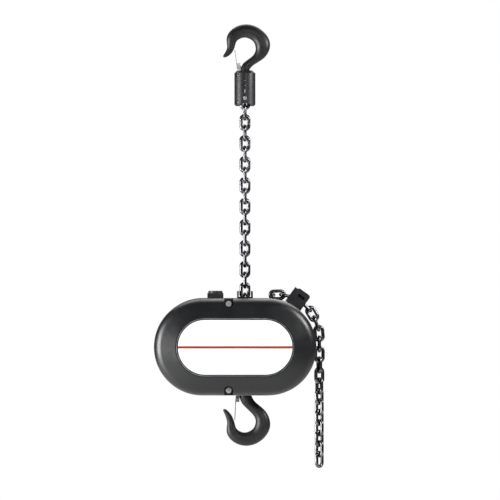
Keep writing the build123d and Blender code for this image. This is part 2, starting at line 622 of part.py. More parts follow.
def gear_outline(teeth, module, shift, first_tooth):
    """Outline of an involute gear; first_tooth is the direction of one tooth in degrees."""
    pressure = math.radians(PRESSURE_ANGLE)
    pitch_radius = teeth * module / 2
    base_radius = pitch_radius * math.cos(pressure)
    tip_radius = pitch_radius + module * (1 + shift)
    root_radius = pitch_radius - module * (1.25 - shift)
    start_radius = max(base_radius, root_radius)
    half_tooth = (math.pi / 2 + 2 * shift * math.tan(pressure)) / teeth
    half_tooth -= BACKLASH / (2 * pitch_radius)

    def half_angle(radius):
        local = math.acos(min(1.0, base_radius / radius))
        return half_tooth + involute(pressure) - involute(local)

    def at(radius, angle):
        return (radius * math.cos(angle), radius * math.sin(angle))

    radii = [start_radius + (tip_radius - start_radius) * step / 3 for step in range(4)]
    pitch_angle = 2 * math.pi / teeth
    edges = []
    for tooth in range(teeth):
        middle = math.radians(first_tooth) + tooth * pitch_angle
        rising = [at(radius, middle - half_angle(radius)) for radius in radii]
        falling = [at(radius, middle + half_angle(radius)) for radius in reversed(radii)]
        root_in = at(root_radius, middle - half_angle(start_radius))
        root_out = at(root_radius, middle + half_angle(start_radius))
        root_next = at(root_radius, middle + pitch_angle - half_angle(start_radius))
        if start_radius > root_radius:
            edges.append(Line(root_in, rising[0]))
        edges.append(Spline(*rising))
        edges.append(ThreePointArc(rising[-1], at(tip_radius, middle), falling[0]))
        edges.append(Spline(*falling))
        if start_radius > root_radius:
            edges.append(Line(falling[-1], root_out))
        valley = at(root_radius, middle + pitch_angle / 2)
        edges.append(ThreePointArc(root_out, valley, root_next))
    return make_face(Wire(edges))


def gear(teeth, module, shift, first_tooth, near, far, axis):
    return slab(gear_outline(teeth, module, shift, first_tooth), near, far, axis)


def wheel_gear(module, first_tooth, near, far, axis, bore):
    """Large gear with a thinned web between its rim and its hub."""
    body = gear(GEAR_TEETH, module, -PROFILE_SHIFT, first_tooth, near, far, axis)
    rim = GEAR_TEETH * module / 2 - 3.5 * module
    hub = bore + 6
    web = (far - near) / 4
    body -= ring_y(rim, hub, near - 1, near + web, axis)
    body -= ring_y(rim, hub, far - web, far + 1, axis)
    return body - bar_y(bore, near - 1, far + 1, axis)


def direction(start, end):
    """Direction from one axis to another in degrees, seen from the front."""
    return math.degrees(math.atan2(end[1] - start[1], end[0] - start[0]))


def gap_towards(teeth, start, end):
    """Tooth direction that turns the middle of a gap towards another axis."""
    return direction(start, end) + 180.0 / teeth


def export_gears():
    first_gear = wheel_gear(FIRST_MODULE, gap_towards(GEAR_TEETH, FIRST_AXIS, MOTOR_AXIS),
                            FIRST_NEAR, FIRST_FAR, FIRST_AXIS, GEAR_SHAFT_RADIUS)
    second_gear = wheel_gear(SECOND_MODULE, gap_towards(GEAR_TEETH, SECOND_AXIS, FIRST_AXIS),
                             SECOND_NEAR, SECOND_FAR, SECOND_AXIS, GEAR_SHAFT_RADIUS)
    output_gear = wheel_gear(OUTPUT_MODULE, gap_towards(GEAR_TEETH, WHEEL_AXIS, SECOND_AXIS),
                             OUTPUT_NEAR, OUTPUT_FAR, WHEEL_AXIS, WHEEL_SHAFT_RADIUS)
    export("first_gear", first_gear)
    export("second_gear", second_gear)
    export("output_gear", output_gear)
    shafts = (("first_gear_shaft", SECOND_MODULE, FIRST_AXIS, SECOND_AXIS, SECOND_NEAR, SECOND_FAR),
              ("second_gear_shaft", OUTPUT_MODULE, SECOND_AXIS, WHEEL_AXIS, OUTPUT_NEAR, OUTPUT_FAR))
    for name, module, axis, partner, near, far in shafts:
        pinion = gear(PINION_TEETH, module, PROFILE_SHIFT, direction(axis, partner), near, far, axis)
        export(name, pinion + bar_y(GEAR_SHAFT_RADIUS, GEAR_COVER_NEAR, -FRAME_INSIDE, axis))
    pinion = gear(PINION_TEETH, FIRST_MODULE, PROFILE_SHIFT, direction(MOTOR_AXIS, FIRST_AXIS),
                  FIRST_NEAR, FIRST_FAR, MOTOR_AXIS)
    shaft = bar_y(GEAR_SHAFT_RADIUS, FIRST_FAR - 0.5, COIL_NEAR - 1, MOTOR_AXIS)
    export("motor_shaft", pinion + shaft)


def export_load_wheel():
    """Pocket wheel with its shaft: flat links lie in the pockets, others in the groove."""
    groove_radius = FLAT_LINK_RADIUS - LINK_HALF_WIDTH - RUNNING_GAP
    groove_half = CHAIN_WIRE / 2 + POCKET_GAP
    wheel = bar_y(WHEEL_TIP, -WHEEL_HALF, WHEEL_HALF, WHEEL_AXIS)
    wheel -= ring_y(WHEEL_TIP + 1, groove_radius, -groove_half, groove_half, WHEEL_AXIS)
    pocket_length = 2 * (LINK_HALF_LENGTH + POCKET_GAP)
    pocket_width = 2 * (LINK_HALF_WIDTH + POCKET_GAP)
    depth = CHAIN_WIRE + POCKET_GAP
    outline = Plane.YZ * (Rot(0, 0, 90) * SlotOverall(pocket_length, pocket_width))
    pocket = extrude(outline, depth + 8, dir=(-1, 0, 0))
    floor = -FLAT_LINK_RADIUS + CHAIN_WIRE / 2 + POCKET_GAP / 2
    for number in range(WHEEL_POCKETS):
        for rise in (0, 5, 10, 15, 20):
            rolled = math.degrees(rise / ROLL_RADIUS)
            for way in (-1, 1):
                turned = Rot(0, number * 360.0 / WHEEL_POCKETS - way * rolled, 0)
                wheel -= Pos(WHEEL_X, 0, WHEEL_Z) * turned * Pos(floor, 0, way * rise) * pocket
                if rise == 0:
                    break
    shaft = bar_y(WHEEL_SHAFT_RADIUS, OUTPUT_NEAR - 1, FRAME_HALF, WHEEL_AXIS)
    export("load_wheel", wheel + shaft)


# ================================================================ hoist body
def body_centre():
    return (-BODY_OFFSET, BODY_Z)


def cover_solid(depth, shrink):
    """Filled cover, standing on the XZ plane towards the viewer; shrink makes its inside."""
    length = BODY_LENGTH - 2 * shrink
    height = BODY_HEIGHT - 2 * shrink
    land_length = LABEL_LENGTH + 2 * LABEL_LAND
    land_height = LABEL_HEIGHT + 2 * LABEL_LAND
    straight = depth - COVER_DISH - shrink
    wall = slab(SlotOverall(length, height), -straight, 0, (0, 0))
    base = Plane(origin=(0, -straight, 0), x_dir=(1, 0, 0), z_dir=(0, -1, 0))
    front = Plane(origin=(0, shrink - depth, 0), x_dir=(1, 0, 0), z_dir=(0, -1, 0))
    dish = loft([base * SlotOverall(length, height), front * SlotOverall(land_length, land_height)],
                ruled=True)
    solid = wall + dish
    rim = [edge for edge in solid.edges() if abs(edge.center().Y + straight) < 0.01]
    rim = [edge for edge in rim if edge.bounding_box().size.Y < 0.01]
    radius = COVER_EDGE - shrink
    return fillet(rim, radius) if radius > 0.5 else solid


def notch_outline(top):
    """Notch seen from the front: round at the screw and open to the edge of the cover."""
    reach = SCREW_INSET + 4
    half = NOTCH_WIDTH / 2
    side = 1 if top else -1
    return Circle(half) + Pos(0, side * reach / 2) * Rectangle(NOTCH_WIDTH, reach)


def screw_centre(top):
    edge = BODY_HEIGHT / 2 - SCREW_INSET
    return (NOTCH_X, BODY_Z + (edge if top else -edge))


def cover(depth, has_label):
    """Shell with two notches for its screws and, on the front one, a recess for the label."""
    centre = Pos(-BODY_OFFSET, -FRAME_HALF, BODY_Z)
    outer = centre * cover_solid(depth, 0)
    inner = centre * cover_solid(depth, COVER_WALL)
    mouth = SlotOverall(BODY_LENGTH - 2 * COVER_WALL, BODY_HEIGHT - 2 * COVER_WALL)
    inner += centre * slab(mouth, -1, 1, (0, 0))
    shell = outer - inner
    front = -FRAME_HALF - depth
    floor = front + NOTCH_DEPTH
    for top in (True, False):
        spot = screw_centre(top)
        post = slab(offset(notch_outline(top), NOTCH_WALL), front, -FRAME_HALF, spot)
        shell += post & outer
        shell -= slab(notch_outline(top), front - 1, floor, spot)
        shell -= bar_y(SCREW_RADIUS + FIT_GAP, floor - 1, -FRAME_HALF + 1, spot)
    if has_label:
        recess = SlotOverall(LABEL_LENGTH + FIT_GAP, LABEL_HEIGHT + FIT_GAP)
        shell -= slab(recess, front - 1, front + LABEL_THICK, body_centre())
    return shell


def turned_to_rear(shape):
    """The same piece for the rear: mirrored through the chain's plane."""
    return mirror(shape, Plane.XZ)


def cover_screw(depth, top):
    """Socket-head screw from the notch floor into the centre frame."""
    floor = -FRAME_HALF - depth + NOTCH_DEPTH
    spot = screw_centre(top)
    head = bar_y(SCREW_HEAD_RADIUS, floor - SCREW_HEAD_HEIGHT, floor, spot)
    head -= slab(RegularPolygon(SCREW_RADIUS, 6), floor - SCREW_HEAD_HEIGHT - 1, floor - 2, spot)
    return head + bar_y(SCREW_RADIUS, floor, -FRAME_INSIDE - 1, spot)


def frame_outline(inset):
    shrink = FRAME_INSET + inset
    return SlotOverall(BODY_LENGTH - 2 * shrink, BODY_HEIGHT - 2 * shrink)


def bores(shape):
    """Opens the bearing seats of the shafts that cross a wall."""
    seats = ((WHEEL_AXIS, WHEEL_BEARING_RADIUS), (MOTOR_AXIS, GEAR_BEARING_RADIUS))
    for axis, radius in seats:
        shape -= bar_y(radius, -FRAME_HALF - 1, FRAME_HALF + 1, axis)
    return shape


def gear_case_spans():
    """Limits of the gear case across and up, round all the gears."""
    output_radius = OUTPUT_MODULE * (GEAR_TEETH / 2 + 1)
    second_radius = SECOND_MODULE * (GEAR_TEETH / 2 + 1)
    first_radius = FIRST_MODULE * (GEAR_TEETH / 2 + 1)
    limit_radius = OUTPUT_MODULE * (PINION_TEETH / 2 + 1.25)
    discs = ((WHEEL_AXIS, output_radius), (SECOND_AXIS, second_radius),
             (FIRST_AXIS, first_radius), (LIMIT_AXIS, limit_radius))
    margin = GEAR_CASE_GAP + GEAR_CASE_WALL
    left = min(axis[0] - radius for axis, radius in discs) - margin
    right = max(axis[0] + radius for axis, radius in discs) + margin
    low = min(axis[1] - radius for axis, radius in discs) - margin
    high = max(axis[1] + radius for axis, radius in discs) + margin
    return left, right, low, high


CASE_LEFT, CASE_RIGHT, CASE_LOW, CASE_HIGH = gear_case_spans()
CASE_CENTRE = ((CASE_LEFT + CASE_RIGHT) / 2, (CASE_LOW + CASE_HIGH) / 2)


def case_outline(inset):
    width = CASE_RIGHT - CASE_LEFT - 2 * inset
    height = CASE_HIGH - CASE_LOW - 2 * inset
    return RectangleRounded(width, height, GEAR_CASE_CORNER - inset)


def centre_frame():
    """Cast frame: front wall, rim, gear case and the bosses that take the cover screws."""
    centre = body_centre()
    frame = slab(frame_outline(0), -FRAME_HALF, FRAME_INSIDE, centre)
    frame -= slab(frame_outline(FRAME_RIM), -FRAME_INSIDE, FRAME_INSIDE + 1, centre)
    case = slab(case_outline(0), CASE_NEAR, -FRAME_HALF, CASE_CENTRE)
    case -= slab(case_outline(GEAR_CASE_WALL), CASE_NEAR - 1, -FRAME_HALF, CASE_CENTRE)
    frame += case
    for top in (True, False):
        spot = screw_centre(top)
        boss = bar_y(SCREW_BOSS_RADIUS, -FRAME_HALF, FRAME_INSIDE, spot)
        frame += boss
    frame = bores(frame)
    for axis in (FIRST_AXIS, SECOND_AXIS):
        frame -= bar_y(GEAR_BEARING_RADIUS, -FRAME_HALF - 1, -FRAME_INSIDE + 1, axis)
    for top in (True, False):
        frame -= bar_y(SCREW_RADIUS, -FRAME_HALF - 1, FRAME_HALF + 1, screw_centre(top))
    half_x = GUIDE_HALF_X + FIT_GAP
    half_y = GUIDE_HALF_Y + FIT_GAP
    roof = (FRAME_TOP - FRAME_RIM * 2, FRAME_TOP + 1)
    frame -= brick((-half_x, half_x), (-half_y, half_y), roof)
    slack = LINK_HALF_WIDTH + CHAIN_CLEARANCE
    exit_left = 2 * WHEEL_X - slack
    frame -= brick((exit_left, exit_left + 2 * slack + CHAIN_PITCH * 0.6), (-half_y, half_y), roof)
    inlet = INLET_BORE + 2
    frame -= bar_z(inlet, roof[0], roof[1], -INLET_OFFSET)
    frame -= bar_z(LOWER_NECK / 2 + RUNNING_GAP * 2, FRAME_BOTTOM - 1, YOKE_BOTTOM + 1)
    for x in (-YOKE_PIN_OUT, YOKE_PIN_OUT):
        frame -= bar_y(YOKE_PIN_RADIUS, -FRAME_HALF - 1, FRAME_HALF + 1, (x, yoke_pin_z()))
    return frame


def yoke_pin_z():
    return (YOKE_TOP + YOKE_BOTTOM) / 2


def back_plate():
    """Plate that closes the chain compartment and carries the motor."""
    plate = bores(slab(frame_outline(0), FRAME_INSIDE, FRAME_HALF, body_centre()))
    for top in (True, False):
        plate += bar_y(SCREW_BOSS_RADIUS, FRAME_INSIDE, FRAME_HALF, screw_centre(top))
    for top in (True, False):
        plate -= bar_y(SCREW_RADIUS, FRAME_INSIDE - 1, FRAME_HALF + 1, screw_centre(top))
    for x in (-YOKE_PIN_OUT, YOKE_PIN_OUT):
        plate -= bar_y(YOKE_PIN_RADIUS, FRAME_INSIDE - 1, FRAME_HALF + 1, (x, yoke_pin_z()))
    return plate


def gear_case_cover():
    plate = slab(case_outline(0), GEAR_COVER_NEAR, CASE_NEAR, CASE_CENTRE)
    for axis in (FIRST_AXIS, SECOND_AXIS):
        plate -= bar_y(GEAR_BEARING_RADIUS, GEAR_COVER_NEAR - 1, CASE_NEAR + 1, axis)
    return plate - bar_y(LIMIT_SCREW_RADIUS + PIN_GAP, GEAR_COVER_NEAR - 1, CASE_NEAR + 1, LIMIT_AXIS)


def chain_guide():
    """Steel mouth that leads the load chain into the body."""
    top = BODY_TOP + GUIDE_RISE
    low = FRAME_TOP - FRAME_RIM * 1.6
    guide = brick((-GUIDE_HALF_X, GUIDE_HALF_X), (-GUIDE_HALF_Y, GUIDE_HALF_Y), (low, top))
    guide = fillet(guide.edges().filter_by(Axis.Z), 4)
    wide = LINK_HALF_WIDTH + CHAIN_CLEARANCE
    thin = CHAIN_WIRE / 2 + CHAIN_CLEARANCE
    guide -= brick((-wide, wide), (-thin, thin), (low - 1, top + 1))
    guide -= brick((-thin, thin), (-wide, wide), (low - 1, top + 1))
    guide -= brick((-wide, wide), (-GUIDE_HALF_Y - 1, GUIDE_HALF_Y + 1), (BODY_TOP + GUIDE_COLLAR, top + 1))
    tips = [edge for edge in guide.edges().filter_by(Axis.Y) if edge.center().Z > top - 0.1]
    outer = [edge for edge in tips if abs(edge.center().X) > GUIDE_HALF_X - 0.1]
    return fillet(outer, GUIDE_FUNNEL)


def label():
    """Blank plate let into the front cover."""
    front = -FRAME_HALF - FRONT_COVER_DEPTH
    return slab(SlotOverall(LABEL_LENGTH, LABEL_HEIGHT), front, front + LABEL_THICK, body_centre())


def cable_inlet():
    """Square inlet housing with ribbed sides and a bore for the power cable."""
    low = FRAME_TOP
    top = BODY_TOP + INLET_RISE - INLET_CAP
    half = INLET_SIZE / 2
    x = -INLET_OFFSET
    body = brick((x - half, x + half), (-half / 1.25, half / 1.25), (low, top))
    rib = INLET_SIZE / (2 * INLET_RIBS + 1)
    for number in range(INLET_RIBS):
        start = x - half + rib * (2 * number + 1)
        for side in (-1, 1):
            face = side * half / 1.25
            body -= brick((start, start + rib), (min(face, face - side * 1.2), max(face, face - side * 1.2)),
                          (low + 3, top - 2))
    return body - bar_z(INLET_BORE, low - 1, top + 1, x)


def cable_inlet_cap():
    """Screw cap that clamps the seal of the cable inlet."""
    top = BODY_TOP + INLET_RISE
    half = INLET_SIZE / 2 * INLET_CAP_SHARE
    cap = bar_z(half, top - INLET_CAP, top, -INLET_OFFSET)
    cap = chamfer(cap.edges().filter_by(GeomType.CIRCLE).sort_by(Axis.Z)[-1], 0.8)
    for number in range(CAP_GRIPS):
        spot = polar((-INLET_OFFSET, 0), half, number * 360.0 / CAP_GRIPS)
        cap -= bar_z(0.8, top - INLET_CAP + 1, top + 1, spot[0], spot[1])
    return cap - bar_z(INLET_BORE, top - INLET_CAP - 1, top + 1, -INLET_OFFSET)


def yoke():
    """Steel block inside the frame that the lower hook hangs from."""
    block = brick((-YOKE_HALF_X, YOKE_HALF_X), (-FRAME_INSIDE + FIT_GAP, FRAME_INSIDE - FIT_GAP),
                  (YOKE_BOTTOM, YOKE_TOP))
    block -= bar_z(SHANK_RADIUS + RUNNING_GAP, YOKE_BOTTOM - 1, YOKE_TOP + 1)
    for x in (-YOKE_PIN_OUT, YOKE_PIN_OUT):
        block -= bar_y(YOKE_PIN_RADIUS, -FRAME_HALF, FRAME_HALF, (x, yoke_pin_z()))
    return block


def export_body():
    export("front_cover", cover(FRONT_COVER_DEPTH, True))
    export("rear_cover", turned_to_rear(cover(REAR_COVER_DEPTH, False)))
    screws = []
    for top in (True, False):
        screws.append(cover_screw(FRONT_COVER_DEPTH, top))
        screws.append(turned_to_rear(cover_screw(REAR_COVER_DEPTH, top)))
    export("cover_screws", screws)
    export("front_label", label())
    export("centre_frame", centre_frame())
    export("back_plate", back_plate())
    export("gear_case_cover", gear_case_cover())
    export("chain_guide", chain_guide())
    export("cable_inlet", cable_inlet())
    export("cable_inlet_cap", cable_inlet_cap())
    export("suspension_yoke", yoke())
    pins = [bar_y(YOKE_PIN_RADIUS, -FRAME_HALF, FRAME_HALF, (x, yoke_pin_z()))
            for x in (-YOKE_PIN_OUT, YOKE_PIN_OUT)]
    export("suspension_pins", pins)


def export_bearings():
    races = []
    for near, far in ((-FRAME_HALF, -FRAME_INSIDE), (FRAME_INSIDE, FRAME_HALF)):
        races += bearing_y(WHEEL_BEARING_RADIUS, WHEEL_SHAFT_RADIUS, near, far, WHEEL_AXIS)
        races += bearing_y(GEAR_BEARING_RADIUS, GEAR_SHAFT_RADIUS, near, far, MOTOR_AXIS)
    races += bearing_y(GEAR_BEARING_RADIUS, GEAR_SHAFT_RADIUS, BELL_NEAR, BELL_FAR, MOTOR_AXIS)
    for axis in (FIRST_AXIS, SECOND_AXIS):
        races += bearing_y(GEAR_BEARING_RADIUS, GEAR_SHAFT_RADIUS, -FRAME_HALF, -FRAME_INSIDE, axis)
        races += bearing_y(GEAR_BEARING_RADIUS, GEAR_SHAFT_RADIUS, GEAR_COVER_NEAR, CASE_NEAR, axis)
    export("ball_bearings", races)


# ================================================================ motor and brake
def export_motor():
    outer = MOTOR_RADIUS
    core = ring_y(outer, STATOR_BORE, STATOR_NEAR, STATOR_FAR, MOTOR_AXIS)
    reach = STATOR_BORE + STATOR_SLOT_DEPTH / 2 - 1
    for number in range(STATOR_SLOTS):
        angle = number * 360.0 / STATOR_SLOTS
        outline = Rot(0, 0, angle) * Pos(reach, 0) * Rectangle(STATOR_SLOT_DEPTH, STATOR_SLOT_WIDTH)
        core -= slab(outline, STATOR_NEAR - 1, STATOR_FAR + 1, MOTOR_AXIS)
    inside = STATOR_BORE + 2
    outside = STATOR_BORE + STATOR_SLOT_DEPTH
    coils = [ring_y(outside, inside, STATOR_NEAR - WINDING_LENGTH / 2, STATOR_NEAR, MOTOR_AXIS),
             ring_y(outside, inside, STATOR_FAR, STATOR_FAR + WINDING_LENGTH, MOTOR_AXIS)]
    export("motor_stator", [core] + coils)
    shell = ring_y(outer + MOTOR_SHELL, outer, FRAME_HALF, BELL_FAR, MOTOR_AXIS)
    bell = ring_y(outer, GEAR_BEARING_RADIUS, BELL_NEAR, BELL_FAR, MOTOR_AXIS)
    export("motor_housing", shell + bell)
    rotor = ring_y(STATOR_BORE - AIR_GAP, GEAR_SHAFT_RADIUS, STATOR_NEAR, STATOR_FAR, MOTOR_AXIS)
    export("motor_rotor", rotor)
    fan = ring_y(GEAR_SHAFT_RADIUS * 2, GEAR_SHAFT_RADIUS, FAN_NEAR, FAN_FAR, MOTOR_AXIS)
    fan += ring_y(FAN_RADIUS, GEAR_SHAFT_RADIUS, FAN_NEAR, FAN_NEAR + 1.5, MOTOR_AXIS)
    middle = (GEAR_SHAFT_RADIUS * 1.9 + FAN_RADIUS) / 2
    length = FAN_RADIUS - GEAR_SHAFT_RADIUS * 1.9
    for number in range(FAN_BLADES):
        outline = Rot(0, 0, number * 360.0 / FAN_BLADES) * Pos(middle, 0) * Rectangle(length - 1, 1.8)
        fan += slab(outline, FAN_NEAR + 1, FAN_FAR, MOTOR_AXIS)
    export("cooling_fan", fan)


def spring_spots():
    step = 360.0 / BRAKE_SPRINGS
    return [polar(MOTOR_AXIS, BRAKE_SPRING_CIRCLE, 45 + step * number) for number in range(BRAKE_SPRINGS)]


def export_brake():
    clear = GEAR_SHAFT_RADIUS + RUNNING_GAP
    export("brake_disc", ring_y(BRAKE_RADIUS, GEAR_SHAFT_RADIUS, DISC_NEAR, DISC_FAR, MOTOR_AXIS))
    export("brake_armature", ring_y(BRAKE_RADIUS, clear, ARMATURE_NEAR, ARMATURE_FAR, MOTOR_AXIS))
    coil = ring_y(BRAKE_RADIUS, clear, COIL_NEAR, COIL_FAR, MOTOR_AXIS)
    springs = []
    for spot in spring_spots():
        coil -= bar_y(BRAKE_SPRING_RADIUS + 1.2, COIL_NEAR - 1, COIL_FAR - 2, spot)
        height = COIL_FAR - 2 - COIL_NEAR - 1.0
        turns = coil_spring(BRAKE_SPRING_RADIUS, 2.0, height)
        springs.append(Pos(spot[0], COIL_FAR - 2.5, spot[1]) * Rot(90, 0, 0) * turns)
    export("brake_coil", coil)
    export("brake_springs", springs)


# ================================================================ limit switch, electrical parts
def limit_nut_centres():
    start = GEAR_COVER_NEAR - LIMIT_SCREW_LENGTH / 2
    return (start - LIMIT_NUT_SPACING, start + LIMIT_NUT_SPACING)


def export_limit_switch():
    first_tooth = direction(LIMIT_AXIS, WHEEL_AXIS) + limit_tooth_offset()
    toothed = gear(PINION_TEETH, OUTPUT_MODULE, PROFILE_SHIFT, first_tooth, OUTPUT_NEAR, OUTPUT_FAR,
                   LIMIT_AXIS)
    screw = bar_y(LIMIT_SCREW_RADIUS, GEAR_COVER_NEAR - LIMIT_SCREW_LENGTH, OUTPUT_FAR, LIMIT_AXIS)
    export("limit_screw", toothed + screw)
    nuts = []
    switches = []
    half = LIMIT_NUT_SIZE / 2
    for centre in limit_nut_centres():
        near, far = centre - LIMIT_NUT_THICK / 2, centre + LIMIT_NUT_THICK / 2
        nut = slab(Rectangle(LIMIT_NUT_SIZE, LIMIT_NUT_SIZE), near, far, LIMIT_AXIS)
        nuts.append(nut - bar_y(LIMIT_SCREW_RADIUS + PIN_GAP, near - 1, far + 1, LIMIT_AXIS))
        width, depth, height = SWITCH_SIZE
        left = LIMIT_AXIS[0] - width / 2
        low = LIMIT_AXIS[1] + half + SWITCH_LIFT
        body = brick((left, left + width), (centre - depth / 2, centre + depth / 2), (low, low + height))
        lever = brick((left + SWITCH_LIFT, left + width - SWITCH_LIFT),
                      (centre - SWITCH_LEVER / 2, centre + SWITCH_LEVER / 2), (low - SWITCH_REACH, low))
        switches.append(body + lever)
    export("limit_nuts", nuts)
    export("limit_switches", switches)


def limit_tooth_offset():
    """Turn that lets the screw's pinion fall into the output gear's own teeth."""
    pitch = 360.0 / GEAR_TEETH
    first_tooth = gap_towards(GEAR_TEETH, WHEEL_AXIS, SECOND_AXIS)
    towards = direction(WHEEL_AXIS, LIMIT_AXIS)
    past_gap = (towards - first_tooth - pitch / 2) % pitch
    return past_gap * GEAR_TEETH / PINION_TEETH


def contactor(left):
    """Contactor with a raised middle, standing on one foot on the gear case cover."""
    far = GEAR_COVER_NEAR - CONTACTOR_STAND
    near = far - CONTACTOR_DEPTH
    low = BODY_Z - CONTACTOR_HEIGHT / 2
    high = low + CONTACTOR_HEIGHT
    right = left + CONTACTOR_WIDTH
    base = near + CONTACTOR_HEAD
    body = brick((left, right), (base, far), (low, high))
    body += brick((left + CONTACTOR_FOOT, right - CONTACTOR_FOOT), (near, base),
                  (low + CONTACTOR_SHOULDER, high - CONTACTOR_SHOULDER))
    foot_left = left + CONTACTOR_STAND
    foot_low = low + CONTACTOR_STAND
    return body + brick((foot_left, foot_left + CONTACTOR_FOOT), (far, GEAR_COVER_NEAR),
                        (foot_low, foot_low + CONTACTOR_FOOT))


def transformer():
    """Core block with two gaps between its outer legs and the coil."""
    left = CASE_RIGHT + TRANSFORMER_CLEAR
    half = TRANSFORMER_HEIGHT / 2
    near = -FRAME_HALF - TRANSFORMER_DEPTH
    core = brick((left, left + TRANSFORMER_WIDTH), (near, -FRAME_HALF), (BODY_Z - half, BODY_Z + half))
    leg = TRANSFORMER_DEPTH / 6
    for side in (-1, 1):
        gap = BODY_Z + side * half * 0.6
        core -= brick((left - 1, left + COIL_RECESS), (near + leg, -FRAME_HALF - leg),
                      (gap - COIL_SLOT, gap + COIL_SLOT))
    return core


def terminal_block():
    right = CASE_LEFT - TERMINAL_CLEAR
    near = -FRAME_HALF - TERMINAL_DEPTH
    low = BODY_Z - TERMINAL_HEIGHT / 2
    block = brick((right - TERMINAL_WIDTH, right), (near, -FRAME_HALF), (low, low + TERMINAL_HEIGHT))
    step = TERMINAL_HEIGHT / TERMINAL_WAYS
    for number in range(TERMINAL_WAYS):
        spot = (right - TERMINAL_WIDTH / 2, low + step * (number + 0.5))
        block -= bar_y(TERMINAL_HOLE, near - 1, near + TERMINAL_HOLE_DEPTH, spot)
    return block


def export_electrical():
    first = CASE_LEFT + CONTACTOR_INSET
    second = first + CONTACTOR_WIDTH + CONTACTOR_GAP
    export("contactors", [contactor(first), contactor(second)])
    export("transformer", transformer())
    export("terminal_block", terminal_block())


# ================================================================ chain stop
def export_chain_stop():
    """Two clamped halves on the slack chain that stop it at the body."""
    place = PLACES[SHOULDER_END - 5]
    middle = place * Pos(0, 0, -CHAIN_WIRE / 2)
    centre = middle.position
    turn = Pos(centre.X, 0, centre.Z) * Rot(0, -STOP_HEADING, 0)
    half = STOP_LENGTH / 2
    tall = STOP_HEIGHT / 2
    outline = RectangleRounded(STOP_LENGTH, STOP_HEIGHT, STOP_CORNER)
    body = slab(outline, -STOP_DEPTH / 2, STOP_DEPTH / 2, (0, 0))
    flange = brick((-half - STOP_FLANGE, -half + STOP_CORNER), (-STOP_DEPTH / 2 + 4, STOP_DEPTH / 2 - 4),
                   (-tall + 3, tall - 3))
    body += flange
    wide = LINK_HALF_WIDTH + CHAIN_CLEARANCE
    thin = CHAIN_WIRE / 2 + CHAIN_CLEARANCE
    ends = (-half - STOP_FLANGE - 1, half + 1)
    body -= brick(ends, (-wide, wide), (-thin * 2.2, thin * 2.2))
    body -= brick(ends, (-thin, thin), (-wide - 1, wide + 1))
    window = (CROWN_RADIUS - STOP_WINDOW_HALF, CROWN_RADIUS + STOP_WINDOW_HALF)
    body -= brick((-half * 0.5, half * 0.5), (-STOP_DEPTH, -thin), window)
    bolts = []
    for side in (-1, 1):
        spot = (half * 0.35, side * (tall - 4.5))
        bolt = bar_y(STOP_BOLT_RADIUS, -STOP_DEPTH / 2 + 2.5, STOP_DEPTH / 2 - 2.5, spot)
        bolts.append(turn * bolt)
        body -= bar_y(STOP_BOLT_RADIUS, -STOP_DEPTH / 2 - 1, STOP_DEPTH / 2 + 1, spot)
    wide_open = STOP_DEPTH
    front = body & brick((-99, 99), (-wide_open, -BLOCK_SEAM / 4), (-99, 99))
    rear = body & brick((-99, 99), (BLOCK_SEAM / 4, wide_open), (-99, 99))
    export("chain_stop", [turn * front, turn * rear])
    export("chain_stop_bolts", bolts)


os.makedirs("parts", exist_ok=True)
export_upper_hook()
export_hook_block()
export_chain()
export_body()
export_bearings()
export_gears()
export_load_wheel()
export_motor()
export_brake()
export_limit_switch()
export_electrical()
export_lower_hook()
export_chain_stop()
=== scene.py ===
"""Looks of the chain hoist: materials for every CAD node, a finished label, studio and camera."""
import json
import math

import bmesh
import bpy
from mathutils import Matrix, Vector


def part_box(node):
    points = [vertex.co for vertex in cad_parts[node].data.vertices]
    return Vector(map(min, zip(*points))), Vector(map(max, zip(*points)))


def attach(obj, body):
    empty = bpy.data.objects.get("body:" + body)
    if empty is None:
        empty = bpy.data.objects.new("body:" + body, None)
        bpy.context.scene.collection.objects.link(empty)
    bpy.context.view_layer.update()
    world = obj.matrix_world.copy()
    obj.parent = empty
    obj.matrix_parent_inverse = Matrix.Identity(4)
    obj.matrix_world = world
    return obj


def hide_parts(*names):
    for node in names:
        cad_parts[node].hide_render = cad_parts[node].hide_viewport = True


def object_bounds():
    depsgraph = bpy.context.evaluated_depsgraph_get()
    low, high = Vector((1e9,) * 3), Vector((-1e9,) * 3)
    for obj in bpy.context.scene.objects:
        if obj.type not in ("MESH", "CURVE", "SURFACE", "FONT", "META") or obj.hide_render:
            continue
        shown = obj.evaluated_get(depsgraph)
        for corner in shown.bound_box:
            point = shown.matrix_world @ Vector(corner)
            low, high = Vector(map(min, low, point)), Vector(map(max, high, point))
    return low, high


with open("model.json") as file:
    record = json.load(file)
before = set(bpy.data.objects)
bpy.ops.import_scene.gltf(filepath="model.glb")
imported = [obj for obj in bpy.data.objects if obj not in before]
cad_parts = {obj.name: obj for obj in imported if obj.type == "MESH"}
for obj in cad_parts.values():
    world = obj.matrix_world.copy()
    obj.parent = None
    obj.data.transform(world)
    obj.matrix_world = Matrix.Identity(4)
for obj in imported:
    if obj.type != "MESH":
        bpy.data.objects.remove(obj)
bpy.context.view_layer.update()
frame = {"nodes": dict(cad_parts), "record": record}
NODES = frame["nodes"]

# ---------------------------------------------------------------- sizes in metres
VIEW_HEIGHT = 1.0           # height of the space that the picture shows
VIEW_CENTRE = Vector((0.0102, 0.0, -0.4246))
CAMERA_DISTANCE = 12.0
BODY_CENTRE = Vector((-0.019, 0.0, -0.617))
SENSOR = 36.0
FLOOR_DROP = 0.28           # floor below the lowest point of the hoist
FLOOR_SIZE = 5.0
LABEL_EDGE = 0.0022         # width of the black edge of the label
LABEL_LINE = 0.0046         # height of the orange line
LABEL_PROUD = 0.0003        # how far the edge and the line stand out of the plate
LABEL_BEVEL = 0.0004
LABEL_STEP = 0.00056        # outline of the plate to the top of the edge's slope
ROUND_STEPS = 48            # segments of each round end

